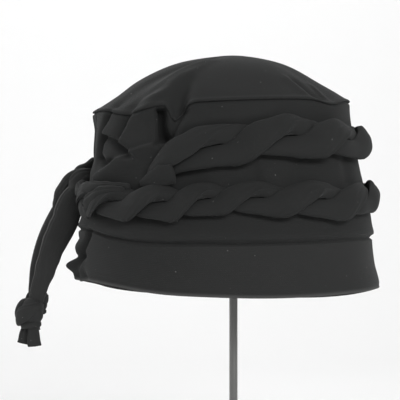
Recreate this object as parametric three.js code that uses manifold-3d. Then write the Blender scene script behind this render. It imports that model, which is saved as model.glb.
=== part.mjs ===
// A soft jersey head cap with two twisted trims and a tied knot at the back, on a plain rod stand.
// Millimetres, +Z up, +X to the front of the cap, origin under the middle of the stand's base.
import * as THREE from 'three';
import { ParametricGeometry } from 'three/addons/geometries/ParametricGeometry.js';
import { mergeGeometries, mergeVertices } from 'three/addons/utils/BufferGeometryUtils.js';
import Module from 'manifold-3d';

const wasm = await Module();
wasm.setup();

// Driving sizes
const gap = 0.3;                  // clear space between pieces that touch
const clothThickness = 2;
const rimHeight = 140;            // near rim above the floor
const seamHeight = 120;           // top seam above the rim, at the sides
const seamLean = 3.5;             // how much higher the top seam is at the front, and lower at the back
const apexHeight = 154;           // top of the crown above the rim
const apexX = -2;
const domePower = 2.15;           // how flat the crown is on top
// Lifts of the rim: up at the back, down at the far side and most so at its two ends.
const rimTilt = { back: 3, far: 4, ends: 4, sag: 4.5 };
const foldStart = 0.2;            // share of the side wall, above the band, over which its folds begin
const crownSmooth = 0.17;         // share of the crown, next to its seam, over which its folds end
const tailWidth = 12;
const tailThickness = 5;
const rodRadius = 2.75;
const baseRadius = 80;
const baseThickness = 4;
const standTopRadius = 36;
const standTopEdge = 3;           // thickness of its rim
const standTopFall = { middle: 3.5, edge: 12.5 };   // how steeply its top falls away, in mm per radius

// Outline of the wall from the side: h is the height above the rim, back and front lie along X,
// and half is half the width along Y.
const wallLevels = [
  { h: 0, back: -101.5, front: 97, half: 84 },
  { h: 16, back: -101.5, front: 93.6, half: 83 },
  { h: 31, back: -101, front: 92, half: 82 },
  { h: 38, back: -102, front: 92, half: 82.6 },
  { h: 50, back: -99, front: 90, half: 80 },
  { h: 85, back: -94, front: 83, half: 75 },
  { h: 120, back: -92.5, front: 77, half: 71 },
];

// Height of the band's seam above the rim, round the cap in degrees.
const bandTops = [
  { angle: 0, h: 33.4 },
  { angle: 150, h: 32 },
  { angle: 180, h: 35 },
  { angle: 197, h: 35.2 },
  { angle: 209, h: 33.8 },
  { angle: 219, h: 31.4 },
  { angle: 236, h: 29.6 },
  { angle: 264, h: 32 },
  { angle: 297, h: 33.2 },
  { angle: 360, h: 33.4 },
];

// Where the top seam is dragged down.
const seamDips = [
  { angle: 226, wide: 14, deep: 5.5 },
  { angle: 325, wide: 10, deep: 3.2 },
];

// Where the wall is sampled round the cap: closer together at the folded back left.
const wallSlices = [
  { angle: 0, slice: 0 },
  { angle: 170, slice: 16 },
  { angle: 265, slice: 42 },
  { angle: 360, slice: 60 },
];

// Folds on the near side of the wall, each along a line in the side view.
// rise is positive for a ridge, soft and steep are its widths on its two sides.
const wallFolds = [
  { x1: -45.5, h1: 113, x2: -45.5, h2: 94, rise: -5, soft: 4, steep: 4 },
  { x1: -81, h1: 98, x2: -64, h2: 87, rise: -3.5, soft: 5, steep: 4 },
  { x1: -81, h1: 111, x2: -86, h2: 89, rise: -3, soft: 4, steep: 4 },
  { x1: -60, h1: 113, x2: -67.5, h2: 95, rise: 4, soft: 7, steep: 4 },
  { x1: -87, h1: 71.5, x2: -57, h2: 89.5, rise: 3.5, soft: 5, steep: 6 },
  { x1: -86, h1: 83, x2: -83, h2: 78, rise: -3, soft: 4, steep: 4 },
];

// Dips and swells of the crown, each along a line seen from above.
const crownFolds = [
  { x1: -24, y1: -40, x2: -51, y2: -62, rise: 3.5, soft: 6, steep: 13 },
  { x1: -28, y1: -46, x2: -39, y2: -66, rise: -5, soft: 7, steep: 6 },
  { x1: 39, y1: -43, x2: 54, y2: -47, rise: -2, soft: 6, steep: 6 },
  { x1: 57, y1: -40, x2: 57, y2: 40, rise: -1.6, soft: 15, steep: 15 },
  { x1: -76, y1: -30, x2: -76, y2: 30, rise: -1.4, soft: 10, steep: 10 },
];

// Ruffles of the band at the back: angle round the cap in degrees, wide in degrees, tall in millimetres.
const bandRuffles = [
  { angle: 187, h: 9, rise: 10, wide: 5, tall: 6 },
  { angle: 187, h: 22, rise: 4, wide: 6, tall: 5.5 },
  { angle: 186, h: 0, rise: 5, wide: 4, tall: 3.4 },
  { angle: 196, h: 4, rise: -4, wide: 4, tall: 9 },
  { angle: 201, h: 22, rise: -3, wide: 4, tall: 8 },
  { angle: 176, h: 31, rise: 3, wide: 7, tall: 6 },
  { angle: 172, h: 8, rise: 5, wide: 7, tall: 12 },
  { angle: 158, h: 12, rise: -3, wide: 7, tall: 16 },
];

// The two twists. path gives a twist's height and half its width round the cap, and turns the leaf that faces
// out there.
const lowerTwist = {
  halfHeight: 12.5,
  halfDepth: 5,
  steps: 76,
  path: [
    { angle: 181, h: 60, half: 6 },
    { angle: 203, h: 55.5, half: 9.5 },
    { angle: 216, h: 55.3, half: 11 },
    { angle: 245, h: 56.3, half: 11.2 },
    { angle: 252, h: 57.2, half: 11 },
    { angle: 268, h: 60.2, half: 9.5 },
    { angle: 290, h: 60.2, half: 10.9 },
    { angle: 316, h: 58.9, half: 11.7 },
    { angle: 335, h: 60, half: 9.8 },
    { angle: 350, h: 62.5, half: 8.8 },
    { angle: 360, h: 64.2, half: 7.8 },
    { angle: 372, h: 62.5, half: 8.8 },
    { angle: 390, h: 57.5, half: 12 },
    { angle: 504, h: 57, half: 12 },
    { angle: 526, h: 60, half: 7 },
  ],
  turns: [
    { angle: 181, leaf: -1.7 },
    { angle: 206, leaf: -0.75 },
    { angle: 221.3, leaf: 0 },
    { angle: 242.8, leaf: 1 },
    { angle: 259.5, leaf: 2 },
    { angle: 277.5, leaf: 3 },
    { angle: 302, leaf: 4 },
    { angle: 328.5, leaf: 5 },
    { angle: 360, leaf: 6.4 },
    { angle: 526, leaf: 13.6 },
  ],
};
const upperTwist = {
  halfHeight: 13,
  halfDepth: 5,
  steps: 56,
  path: [
    { angle: 234, h: 66.5, half: 0.6 },
    { angle: 240, h: 73, half: 5.8 },
    { angle: 246, h: 79, half: 10.8 },
    { angle: 251, h: 85.3, half: 12.4 },
    { angle: 258, h: 89.3, half: 13.2 },
    { angle: 271, h: 93.5, half: 12.6 },
    { angle: 284, h: 97, half: 12.6 },
    { angle: 320, h: 98.5, half: 12.8 },
    { angle: 333, h: 96.5, half: 10.6 },
    { angle: 347, h: 97.5, half: 11.2 },
    { angle: 360, h: 98, half: 9.8 },
    { angle: 375, h: 98.5, half: 12 },
    { angle: 400, h: 98.5, half: 13 },
    { angle: 436, h: 97, half: 12.6 },
    { angle: 462, h: 89.3, half: 13 },
    { angle: 474, h: 79, half: 10.8 },
    { angle: 480, h: 73, half: 5.8 },
    { angle: 486, h: 66.5, half: 0.6 },
  ],
  turns: [
    { angle: 234, leaf: 0.93 },
    { angle: 243, leaf: 0.91 },
    { angle: 251, leaf: 0.8 },
    { angle: 257, leaf: 0.87 },
    { angle: 261.5, leaf: 1 },
    { angle: 291.8, leaf: 2 },
    { angle: 323, leaf: 3 },
    { angle: 360, leaf: 4.2 },
    { angle: 470, leaf: 8.8 },
    { angle: 486, leaf: 8.93 },
  ],
};
const leafSnap = -0.4;            // below 0 the leaves turn over quickly and then lie long and slanting
const leafLap = 0.16;             // how far a leaf's lower edge stands over the next leaf
const leafAngles = [-90, -52, -16, 20, 56, 90];
const twistEnd = 0.035;           // share of a twist's length over which its ends taper
const tuckStretches = [           // where the upper twist's ends meet the lower twist, in degrees
  { first: 205, last: 255 },
  { first: 465, last: 515 },
];

// The knot at the back and the tails that hang from it, as far as the knots at their ends.
const knotCentre = new THREE.Vector3(-107.2, 12, rimHeight + 70);
const nearTail = {
  route: [
    { x: -108.2, y: 9, h: 57.8 },
    { x: -114.6, y: 7, h: 41.8 },
    { x: -122.2, y: 6, h: 24.4 },
    { x: -127.9, y: 6, h: 6.9 },
    { x: -131.2, y: 6, h: -4 },
    { x: -132.3, y: 6, h: -8 },
  ],
  endKnot: { x: -136.7, y: 6, h: -16.2 },
};
const farTail = {
  route: [
    { x: -111.6, y: 15.5, h: 59.4 },
    { x: -120.5, y: 18, h: 46 },
    { x: -127.5, y: 19.5, h: 30 },
    { x: -132.3, y: 20, h: 14 },
    { x: -134.1, y: 20, h: -0.8 },
  ],
  endKnot: { x: -133.5, y: 20, h: -10.2 },
};

// Knots: a lump with flattened rings of strap round it. The end knots have a strap end that hangs out.
const knotLump = { x: 12, y: 11, z: 10 };
const knotWraps = [
  { radius: 8, thickness: 4.6, stretch: { x: 0.9, y: 1.15, z: 1.5 }, tilt: { x: 0.3, y: 1.2 } },
  { radius: 8, thickness: 4.6, stretch: { x: 0.9, y: 1.15, z: 1.5 }, tilt: { x: 0.2, y: -0.4 } },
];
const endKnotLump = { x: 8, y: 6.5, z: 8.5 };
const endKnotWrap = {
  radius: 5.6,
  thickness: 3.4,
  stretch: { x: 1, y: 1, z: 1.2 },
  tilt: { x: 1.27, y: 0.5 },
};
const strapEnd = { width: 13, thickness: 5, lean: 1, length: 23 };

// Colours
const jersey = { color: 0x333434, roughness: 0.92, metalness: 0 };
const greyMetal = { color: 0x656664, roughness: 0.45, metalness: 0.8 };

// Small helpers
const radians = THREE.MathUtils.degToRad;
const clamp = THREE.MathUtils.clamp;
const lerp = THREE.MathUtils.lerp;

// Values of some columns of a table at a place along it, on a smooth curve through its rows.
function smoothTable(rows, place, columns) {
  const places = rows.map((row) => row[place]);
  const values = rows.flatMap((row) => columns.map((column) => row[column]));
  const curve = new THREE.CubicInterpolant(places, values, columns.length);
  return (at) => Array.from(curve.evaluate(at));
}

// A geometry with its shared points merged and its empty triangles left out.
function weld(geometry) {
  const bare = geometry.clone();
  bare.deleteAttribute('normal');
  bare.deleteAttribute('uv');
  const merged = mergeVertices(bare, 1e-3);
  const corners = Array.from(merged.index.array);
  const kept = [];
  for (let i = 0; i < corners.length; i += 3) {
    const [a, b, c] = corners.slice(i, i + 3);
    if (a !== b && b !== c && c !== a) kept.push(a, b, c);
  }
  merged.setIndex(kept);
  return merged;
}

function toSolid(geometry) {
  const welded = weld(geometry);
  const vertProperties = new Float32Array(welded.attributes.position.array);
  const triVerts = new Uint32Array(welded.index.array);
  return new wasm.Manifold(new wasm.Mesh({ numProp: 3, vertProperties, triVerts }));
}

function toGeometry(solid) {
  const { vertProperties, triVerts } = solid.getMesh();
  const geometry = new THREE.BufferGeometry();
  geometry.setAttribute('position', new THREE.BufferAttribute(vertProperties, 3));
  geometry.setIndex(new THREE.BufferAttribute(triVerts, 1));
  return geometry;
}

function join(geometries) {
  const solids = geometries.map(toSolid);
  return toGeometry(solids.reduce((whole, solid) => whole.add(solid)));
}

const cap = new THREE.Group();

function addPiece(name, geometry, finish) {
  geometry.computeVertexNormals();
  const mesh = new THREE.Mesh(geometry, new THREE.MeshStandardMaterial(finish));
  mesh.name = name;
  cap.add(mesh);
}

// Shape of the cap
const wallSize = smoothTable(wallLevels, 'h', ['back', 'front', 'half']);

function rimLift(angle) {
  const { back, far, ends, sag } = rimTilt;
  const farEnds = 2 * Math.max(0, Math.sin(angle)) * Math.abs(Math.cos(angle));
  return ends * Math.cos(2 * angle) - back * Math.cos(angle) - far * Math.sin(angle) - sag * farEnds;
}

const bandTopTable = smoothTable(bandTops, 'angle', ['h']);

function bandTopAt(angle) {
  return bandTopTable(THREE.MathUtils.radToDeg(angle))[0];
}

function seamAt(angle) {
  let height = seamHeight + seamLean * Math.cos(angle);
  for (const dip of seamDips) {
    const turn = (THREE.MathUtils.radToDeg(angle) - dip.angle) / dip.wide;
    height -= dip.deep * Math.exp(-(turn ** 2));
  }
  return height;
}

// How much a line of folds lifts the cloth at a point (p, q) of the plane that the folds are drawn in.
function foldLift(folds, p, q, names) {
  let lift = 0;
  for (const fold of folds) {
    const [p1, q1, p2, q2] = names.map((name) => fold[name]);
    const length = Math.hypot(p2 - p1, q2 - q1);
    const alongP = (p2 - p1) / length;
    const alongQ = (q2 - q1) / length;
    const along = (p - p1) * alongP + (q - q1) * alongQ;
    const across = (q - q1) * alongP - (p - p1) * alongQ;
    const past = Math.max(0, -along, along - length);
    const width = across > 0 ? fold.soft : fold.steep;
    lift += fold.rise * Math.exp(-((across / width) ** 2) - (past / fold.soft) ** 2);
  }
  return lift;
}

function ruffleLift(angle, h) {
  let lift = 0;
  for (const ruffle of bandRuffles) {
    const turn = (THREE.MathUtils.radToDeg(angle) - ruffle.angle) / ruffle.wide;
    const climb = (h - ruffle.h) / ruffle.tall;
    lift += ruffle.rise * Math.exp(-(turn ** 2) - climb ** 2);
  }
  return lift;
}

// Direction straight out of the wall, level.
function wallOut(angle, h) {
  const [back, front, half] = wallSize(h);
  const reach = (front - back) / 2;
  return new THREE.Vector3(Math.cos(angle) / reach, Math.sin(angle) / half, 0).normalize();
}

// A point of the smooth wall, lift outside it.
function wallPoint(angle, h, lift = 0) {
  const [back, front, half] = wallSize(h);
  const x = (front + back) / 2 + ((front - back) / 2) * Math.cos(angle);
  const y = half * Math.sin(angle);
  const tilt = rimLift(angle) * clamp(1 - h / seamHeight, 0, 1);
  return new THREE.Vector3(x, y, rimHeight + h + tilt).addScaledVector(wallOut(angle, h), lift);
}

function sideFoldLift(angle, h) {
  const near = clamp(-3 * Math.sin(angle), 0, 1);
  const place = wallPoint(angle, h);
  return near * foldLift(wallFolds, place.x, h, ['x1', 'h1', 'x2', 'h2']);
}

// A cloth wall: rings along the outside, over the far edge and back along the inside.
function clothWall(shares, place) {
  const angleOf = smoothTable(wallSlices, 'slice', ['angle']);
  const outside = shares.map((share) => ({ share, lift: 0 }));
  const inside = shares.map((share) => ({ share, lift: -clothThickness })).reverse();
  const rings = [...outside, ...inside, outside[0]];
  const slices = wallSlices.at(-1).slice;
  const surface = (u, v, target) => {
    const ring = rings[Math.round(v * (rings.length - 1))];
    const angle = radians(angleOf(u * slices)[0]);
    target.copy(place(angle, ring.share, ring.lift));
  };
  return weld(new ParametricGeometry(surface, slices, rings.length - 1));
}

function bandGeometry() {
  const shares = [0, 0.26, 0.62, 1];
  return clothWall(shares, (angle, share, lift) => {
    const h = share * bandTopAt(angle);
    return wallPoint(angle, h, lift + ruffleLift(angle, h));
  });
}

function crownSideGeometry() {
  const shares = [0, 0.06, 0.2, 0.35, 0.5, 0.62, 0.74, 0.86, 1];
  return clothWall(shares, (angle, share, lift) => {
    const h = lerp(bandTopAt(angle) + gap, seamAt(angle) - gap / 2, share);
    const folded = clamp(share / foldStart, 0, 1);
    const ruffle = ruffleLift(angle, h) * (1 - folded);
    return wallPoint(angle, h, lift + ruffle + sideFoldLift(angle, h) * folded);
  });
}

// A point of the crown, at a share of the way from its top to the top seam. The cloth is upright at the
// seam and level at the top, so its inside lies inwards at the seam and downwards at the top.
function crownPoint(angle, share, lift) {
  const seamH = seamAt(angle);
  const upright = share ** 4;
  const dent = sideFoldLift(angle, seamH) * clamp((share - 0.8) / 0.2, 0, 1);
  const seam = wallPoint(angle, seamH + gap / 2, lift * share + dent);
  const x = lerp(apexX, seam.x, share);
  const y = lerp(0, seam.y, share);
  const top = rimHeight + apexHeight;
  const drop = (top - seam.z) * share ** domePower;
  const folded = clamp((1 - share) / crownSmooth, 0, 1);
  const swell = foldLift(crownFolds, x, y, ['x1', 'y1', 'x2', 'y2']) * folded;
  return new THREE.Vector3(x, y, top - drop + swell + lift * (1 - upright));
}

function crownTopGeometry() {
  return clothWall([1, 0.95, 0.86, 0.74, 0.58, 0.38, 0.18, 0], crownPoint);
}

// Section of one strand of a twist, in the plane across the twist: half an oval, whose lower edge laps
// over the other strand. The turn is the direction that the strand faces, 0 for straight out.
function strandSection(twist, turn) {
  const oval = new THREE.Vector2(twist.halfDepth, twist.halfHeight);
  const at = (side, size) => {
    return new THREE.Vector2(Math.cos(side), Math.sin(side)).multiply(oval).multiplyScalar(size);
  };
  const points = leafAngles.map((leafAngle) => at(turn + radians(leafAngle), 1 - (leafLap * leafAngle) / 90));
  points.push(new THREE.Vector2());
  points.push(at(turn - Math.PI / 2, 1 - leafLap));
  return points;
}

// How far the middle line of a twist lies outside the wall.
function twistSeat(twist, size) {
  return twist.halfDepth * (1 + leafLap) * size + 2 * gap;
}

// The height of a twist, its size as a share of its full width and its leaf, at a place round the cap.
function twistTable(twist) {
  const pathAt = smoothTable(twist.path, 'angle', ['h', 'half']);
  const turnAt = smoothTable(twist.turns, 'angle', ['leaf']);
  return (degrees) => {
    const [h, half] = pathAt(degrees);
    const [even] = turnAt(degrees);
    const leaf = even + (leafSnap * Math.sin(2 * Math.PI * even)) / (2 * Math.PI);
    return { h, size: half / twist.halfHeight, leaf };
  };
}

// One strand, wound round the twist's middle line. The second strand is half a turn behind the first.
function strandGeometry(twist, second) {
  const tableAt = twistTable(twist);
  const first = twist.path[0].angle;
  const last = twist.path.at(-1).angle;
  const count = leafAngles.length + 2;
  const place = (share, corner, target) => {
    const degrees = lerp(first, last, share);
    const { h, size, leaf } = tableAt(degrees);
    const turn = Math.PI * (leaf - (second ? 1.5 : 0.5));
    const taper = clamp(Math.min(share, 1 - share) / twistEnd, 0, 1);
    const grown = size * Math.sqrt(1 - (1 - taper) ** 2);
    const point = strandSection(twist, turn)[corner % count];
    const out = point.x * grown + gap * Math.cos(turn);
    const up = point.y * grown + gap * Math.sin(turn);
    target.copy(wallPoint(radians(degrees), h + up, twistSeat(twist, size) + out));
  };
  // The two strands meet back to back on one surface, so the second one's back is split the other way.
  const patch = (from, to, flipped) => {
    const along = (u, v, target) => place(u, from + Math.round(v * (to - from)), target);
    const across = (u, v, target) => place(v, to - Math.round(u * (to - from)), target);
    return flipped
      ? new ParametricGeometry(across, to - from, twist.steps)
      : new ParametricGeometry(along, twist.steps, to - from);
  };
  const lastLeafCorner = leafAngles.length - 1;
  const leaf = patch(0, lastLeafCorner, false);
  const back = patch(lastLeafCorner, count, second);
  return weld(mergeGeometries([leaf, back]));
}

// A plain oval tube round a stretch of a twist, a little larger than it.
function twistEnvelope(twist, { first, last }) {
  const tableAt = twistTable(twist);
  const grown = 1 + leafLap;
  const surface = (u, v, target) => {
    const degrees = lerp(first, last, u);
    const side = v * 2 * Math.PI;
    const { h, size } = tableAt(degrees);
    const open = u > 0 && u < 1 ? 1 : 0;
    const out = (twist.halfDepth * grown * size + 4 * gap) * Math.cos(side) * open;
    const up = (twist.halfHeight * grown * size + 2 * gap) * Math.sin(side) * open;
    target.copy(wallPoint(radians(degrees), h + up, twistSeat(twist, size) + out));
  };
  return weld(new ParametricGeometry(surface, 18, 16));
}

// A strand of the upper twist, cut where its ends go in behind the lower twist.
function tuckedStrandGeometry(second) {
  const strand = toSolid(strandGeometry(upperTwist, second));
  const tucks = tuckStretches.map((stretch) => toSolid(twistEnvelope(lowerTwist, stretch)));
  return toGeometry(tucks.reduce((rest, tuck) => rest.subtract(tuck), strand));
}

// A strap of oval section along a route of points.
function strapGeometry(points, width, thickness, steps) {
  const outline = new THREE.Shape();
  outline.absellipse(0, 0, thickness / 2, width / 2, 0, 2 * Math.PI);
  const extrudePath = new THREE.CatmullRomCurve3(points);
  return new THREE.ExtrudeGeometry(outline, { extrudePath, steps, curveSegments: 5 });
}

function aboveRim({ x, y, h }) {
  return new THREE.Vector3(x, y, rimHeight + h);
}

function tailGeometry(tail) {
  return strapGeometry(tail.route.map(aboveRim), tailWidth, tailThickness, 8);
}

// A ring of strap, flattened, wound round a knot.
function wrapGeometry(centre, { radius, thickness, stretch, tilt }) {
  const ring = new THREE.TorusGeometry(radius, thickness, 6, 11);
  ring.scale(stretch.x, stretch.y, stretch.z);
  ring.rotateX(tilt.x);
  ring.rotateY(tilt.y);
  ring.translate(centre.x, centre.y, centre.z);
  return ring;
}

function lumpGeometry(centre, size) {
  const lump = new THREE.SphereGeometry(1, 9, 6);
  lump.scale(size.x, size.y, size.z);
  lump.translate(centre.x, centre.y, centre.z);
  return lump;
}

function tieKnotGeometry() {
  const wraps = knotWraps.map((wrap) => wrapGeometry(knotCentre, wrap));
  return join([lumpGeometry(knotCentre, knotLump), ...wraps]);
}

// The overhand knot at the end of a tail, with the frayed strap end that hangs out of it.
function tailKnotGeometry(tail) {
  const centre = aboveRim(tail.endKnot);
  const { width, thickness, lean, length } = strapEnd;
  const hang = [0, 0.5, 1].map((share) => {
    return centre.clone().add(new THREE.Vector3(lean * share, 0, -length * share));
  });
  const end = strapGeometry(hang, width, thickness, 4);
  return join([lumpGeometry(centre, endKnotLump), wrapGeometry(centre, endKnotWrap), end]);
}

// A solid turned about the upright axis from an outline of radius and height.
function turned(outline, segments) {
  const points = outline.map(([radius, height]) => new THREE.Vector2(radius, height));
  const geometry = new THREE.LatheGeometry(points, segments);
  geometry.rotateX(Math.PI / 2);
  return weld(geometry);
}

const crownUnderside = rimHeight + apexHeight - clothThickness;

const standTopHeight = crownUnderside - 3 * gap;

// How far the stand's top falls away at a share of its radius.
function standTopDrop(share) {
  const level = 0.1;              // share of the radius that is level, over the rod
  return Math.max(0, share - level) * lerp(standTopFall.middle, standTopFall.edge, share);
}

const standTopFoot = standTopHeight - standTopDrop(1) - standTopEdge;

function standTopGeometry() {
  const over = [1, 0.75, 0.5, 0.1, 0].map((share) => {
    return [standTopRadius * share, standTopHeight - standTopDrop(share)];
  });
  return turned([[0, standTopFoot], [standTopRadius, standTopFoot], ...over], 24);
}

function standRodGeometry() {
  const foot = baseThickness + gap;
  const head = standTopFoot - gap;
  return turned([[0, foot], [rodRadius, foot], [rodRadius, head], [0, head]], 16);
}

function standBaseGeometry() {
  const edge = 1;
  return turned([
    [0, 0],
    [baseRadius, 0],
    [baseRadius, baseThickness - edge],
    [baseRadius - edge, baseThickness],
    [0, baseThickness],
  ], 40);
}

addPiece('crown_top', crownTopGeometry(), jersey);
addPiece('crown_side', crownSideGeometry(), jersey);
addPiece('band', bandGeometry(), jersey);
addPiece('lower_twist_strand_a', strandGeometry(lowerTwist, false), jersey);
addPiece('lower_twist_strand_b', strandGeometry(lowerTwist, true), jersey);
addPiece('upper_twist_strand_a', tuckedStrandGeometry(false), jersey);
addPiece('upper_twist_strand_b', tuckedStrandGeometry(true), jersey);
addPiece('tie_knot', tieKnotGeometry(), jersey);
addPiece('tail_near', tailGeometry(nearTail), jersey);
addPiece('tail_far', tailGeometry(farTail), jersey);
addPiece('tail_knot_near', tailKnotGeometry(nearTail), jersey);
addPiece('tail_knot_far', tailKnotGeometry(farTail), jersey);
addPiece('stand_top', standTopGeometry(), greyMetal);
addPiece('stand_rod', standRodGeometry(), greyMetal);
addPiece('stand_base', standBaseGeometry(), greyMetal);

export default cap;
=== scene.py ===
import math

import bmesh
import bpy
import numpy as np
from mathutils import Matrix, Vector


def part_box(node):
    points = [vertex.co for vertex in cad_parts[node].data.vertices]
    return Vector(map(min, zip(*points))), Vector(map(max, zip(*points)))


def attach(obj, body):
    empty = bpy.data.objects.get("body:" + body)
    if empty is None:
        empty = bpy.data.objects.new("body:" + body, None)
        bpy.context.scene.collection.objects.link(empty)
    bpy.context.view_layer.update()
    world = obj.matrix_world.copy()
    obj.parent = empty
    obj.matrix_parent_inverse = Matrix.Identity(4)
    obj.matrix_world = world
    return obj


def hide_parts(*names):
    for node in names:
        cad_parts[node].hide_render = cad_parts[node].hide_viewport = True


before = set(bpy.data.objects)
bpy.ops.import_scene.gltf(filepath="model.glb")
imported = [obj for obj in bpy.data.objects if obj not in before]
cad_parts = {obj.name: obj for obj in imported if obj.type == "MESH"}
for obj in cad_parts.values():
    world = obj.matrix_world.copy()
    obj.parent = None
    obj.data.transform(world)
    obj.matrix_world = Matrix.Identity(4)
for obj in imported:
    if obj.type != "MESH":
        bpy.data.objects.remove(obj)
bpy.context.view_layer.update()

mm = 0.001  # shapes are worked out in millimetres
print("frame loaded:", len(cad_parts), "nodes")


# camera, level with the lower twist, as in the photo
cameraSet = {"x": -22.3, "distance": 900, "z": 198.6, "seen": 266.8, "sensor": 36, "clip": 50}


def makeCamera():
    data = bpy.data.cameras.new("photoCamera")
    data.sensor_width = cameraSet["sensor"]
    data.lens = cameraSet["sensor"] * cameraSet["distance"] / cameraSet["seen"]
    data.clip_end = cameraSet["clip"]
    camera = bpy.data.objects.new("photoCamera", data)
    camera.location = Vector((cameraSet["x"], -cameraSet["distance"], cameraSet["z"])) * mm
    camera.rotation_euler = (math.pi / 2, 0, 0)
    bpy.context.scene.collection.objects.link(camera)
    bpy.context.scene.camera = camera


makeCamera()
print("camera placed")


# small helpers

def table(keys, rows):  # rows of numbers, each number under its own word
    return [dict(zip(keys, row)) for row in rows]


def smoothTable(rows, place, value):  # a smooth curve through one column of a table
    xs = np.array([row[place] for row in rows], float)
    ys = np.array([row[value] for row in rows], float)
    slopes = np.diff(ys) / np.diff(xs)
    tangents = np.concatenate([[0], (slopes[:-1] + slopes[1:]) / 2, [0]])

    def at(x):
        x = np.clip(x, xs[0], xs[-1])
        i = np.clip(np.searchsorted(xs, x, side="right") - 1, 0, len(xs) - 2)
        step = xs[i + 1] - xs[i]
        t = (x - xs[i]) / step
        start = (2 * t**3 - 3 * t**2 + 1) * ys[i] + (t**3 - 2 * t**2 + t) * step * tangents[i]
        end = (3 * t**2 - 2 * t**3) * ys[i + 1] + (t**3 - t**2) * step * tangents[i + 1]
        return start + end

    return at


def ramp(x, low, high):  # 0 below low, 1 above high, smooth between
    t = np.clip((x - low) / (high - low), 0, 1)
    return t * t * (3 - 2 * t)


def bell(x, middle, wide):  # 1 at the middle, falling away smoothly to both sides
    return np.exp(-(((x - middle) / wide) ** 2))


def ripple(places, size, seed, waves=9):  # slow random waves in space, about 1 high, the same on every run
    draw = np.random.default_rng(seed)
    total = np.zeros(places.shape[:-1])
    for _ in range(waves):
        way = draw.normal(size=3)
        way *= 2 * math.pi / (np.linalg.norm(way) * size * draw.uniform(0.7, 1.6))
        total += np.sin(places @ way + draw.uniform(0, 2 * math.pi))
    return total / math.sqrt(waves)


def foldReach(flatX, flatY, path):  # distance off a path, side of it, distance past its ends, share along it
    shape = np.broadcast(flatX, flatY).shape
    best = np.full(shape, 1e9)
    side, past, travel = np.zeros((3, *shape))
    for k, ((x1, y1), (x2, y2)) in enumerate(zip(path[:-1], path[1:])):
        length = math.hypot(x2 - x1, y2 - y1)
        wayX, wayY = (x2 - x1) / length, (y2 - y1) / length
        along = (flatX - x1) * wayX + (flatY - y1) * wayY
        across = (flatY - y1) * wayX - (flatX - x1) * wayY
        inside = np.clip(along, 0, length)
        away = np.hypot(across, along - inside)
        before = np.maximum(-along, 0) if k == 0 else 0
        after = np.maximum(along - length, 0) if k == len(path) - 2 else 0
        nearer = away < best
        best = np.where(nearer, away, best)
        side = np.where(nearer, across, side)
        past = np.where(nearer, np.maximum(before, after), past)
        travel = np.where(nearer, (k + inside / length) / (len(path) - 1), travel)
    return best, side, past, travel


foldUsual = {"fade": 6, "power": 2, "grow": 0}  # what a fold has unless its row says otherwise
foldStart = -0.01  # a fold grows from just before its path's first point


def foldLift(flatX, flatY, folds):  # how far folds lift the cloth; left and right are as seen along the path
    lift = np.zeros(np.broadcast(flatX, flatY).shape)
    for row in folds:
        fold = {**foldUsual, **row}
        away, side, past, travel = foldReach(flatX, flatY, fold["path"])
        cross = np.sqrt(np.maximum(away**2 - past**2, 0))
        width = np.where(side > 0, fold["left"], fold["right"])
        fade = bell(past, 0, fold["fade"]) * ramp(travel, foldStart, fold["grow"])
        lift += fold["rise"] * np.exp(-((cross / width) ** fold["power"])) * fade
    return lift


weldDistance = 1e-6  # in metres


def gridObject(name, places, uvs, finish, wearAndLight=None):  # a grid of places, welded where its edges meet
    rows, columns = places.shape[:2]
    bm = bmesh.new()
    bmesh.ops.create_grid(bm, x_segments=columns - 1, y_segments=rows - 1, size=1)
    uvLayer = bm.loops.layers.uv.new("cloth")
    # each place's share of paler colour: a little is the paleness of rubbed jersey, most is painted highlight
    # and painted light
    wearAndLightLayer = bm.verts.layers.float.new("wearAndLight")
    spots = {}
    for vert in bm.verts:
        column = round((vert.co.x + 1) / 2 * (columns - 1))
        row = round((vert.co.y + 1) / 2 * (rows - 1))
        spots[vert] = (row, column)
    for face in bm.faces:
        for loop in face.loops:
            loop[uvLayer].uv = uvs[spots[loop.vert]] * mm
    for vert, spot in spots.items():
        vert.co = places[spot] * mm
        vert[wearAndLightLayer] = 0 if wearAndLight is None else wearAndLight[spot]
    bmesh.ops.remove_doubles(bm, verts=bm.verts, dist=weldDistance)
    return meshObject(name, bm, finish)


def meshObject(name, bm, finish):
    for face in bm.faces:
        face.smooth = True
    mesh = bpy.data.meshes.new(name)
    bm.to_mesh(mesh)
    bm.free()
    mesh.materials.append(finish)
    piece = bpy.data.objects.new(name, mesh)
    bpy.context.scene.collection.objects.link(piece)
    return piece


def joinPieces(name, pieces):  # several meshes made into one piece
    bm = bmesh.new()
    for piece in pieces:
        bm.from_mesh(piece.data)
    finish = pieces[0].data.materials[0]
    for piece in pieces:
        bpy.data.objects.remove(piece)
    return meshObject(name, bm, finish)


def seat(piece, slotName, *nodes):  # every piece is fixed to the one body
    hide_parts(*nodes)
    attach(piece, "root")
    return piece


# nodes of the finishes

def addNode(tree, kind, **values):
    node = tree.nodes.new(kind)
    for key, value in values.items():
        setattr(node, key, value)
    return node


def feed(tree, socket, value):  # a link from another node, or a plain value
    if isinstance(value, bpy.types.NodeSocket):
        tree.links.new(value, socket)
    else:
        socket.default_value = value


def mathNode(tree, operation, first, second=None):
    node = addNode(tree, "ShaderNodeMath", operation=operation)
    feed(tree, node.inputs[0], first)
    if second is not None:
        feed(tree, node.inputs[1], second)
    return node.outputs[0]


def sumNode(tree, first, firstShare, second, secondShare=None):  # shares of two values, added up
    firstPart = mathNode(tree, "MULTIPLY", first, firstShare)
    secondPart = second if secondShare is None else mathNode(tree, "MULTIPLY", second, secondShare)
    return mathNode(tree, "ADD", firstPart, secondPart)


def noiseNode(tree, place, scale, detail=2):
    noise = addNode(tree, "ShaderNodeTexNoise")
    noise.inputs["Scale"].default_value = scale
    noise.inputs["Detail"].default_value = detail
    tree.links.new(place, noise.inputs["Vector"])
    return noise.outputs[0]


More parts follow.
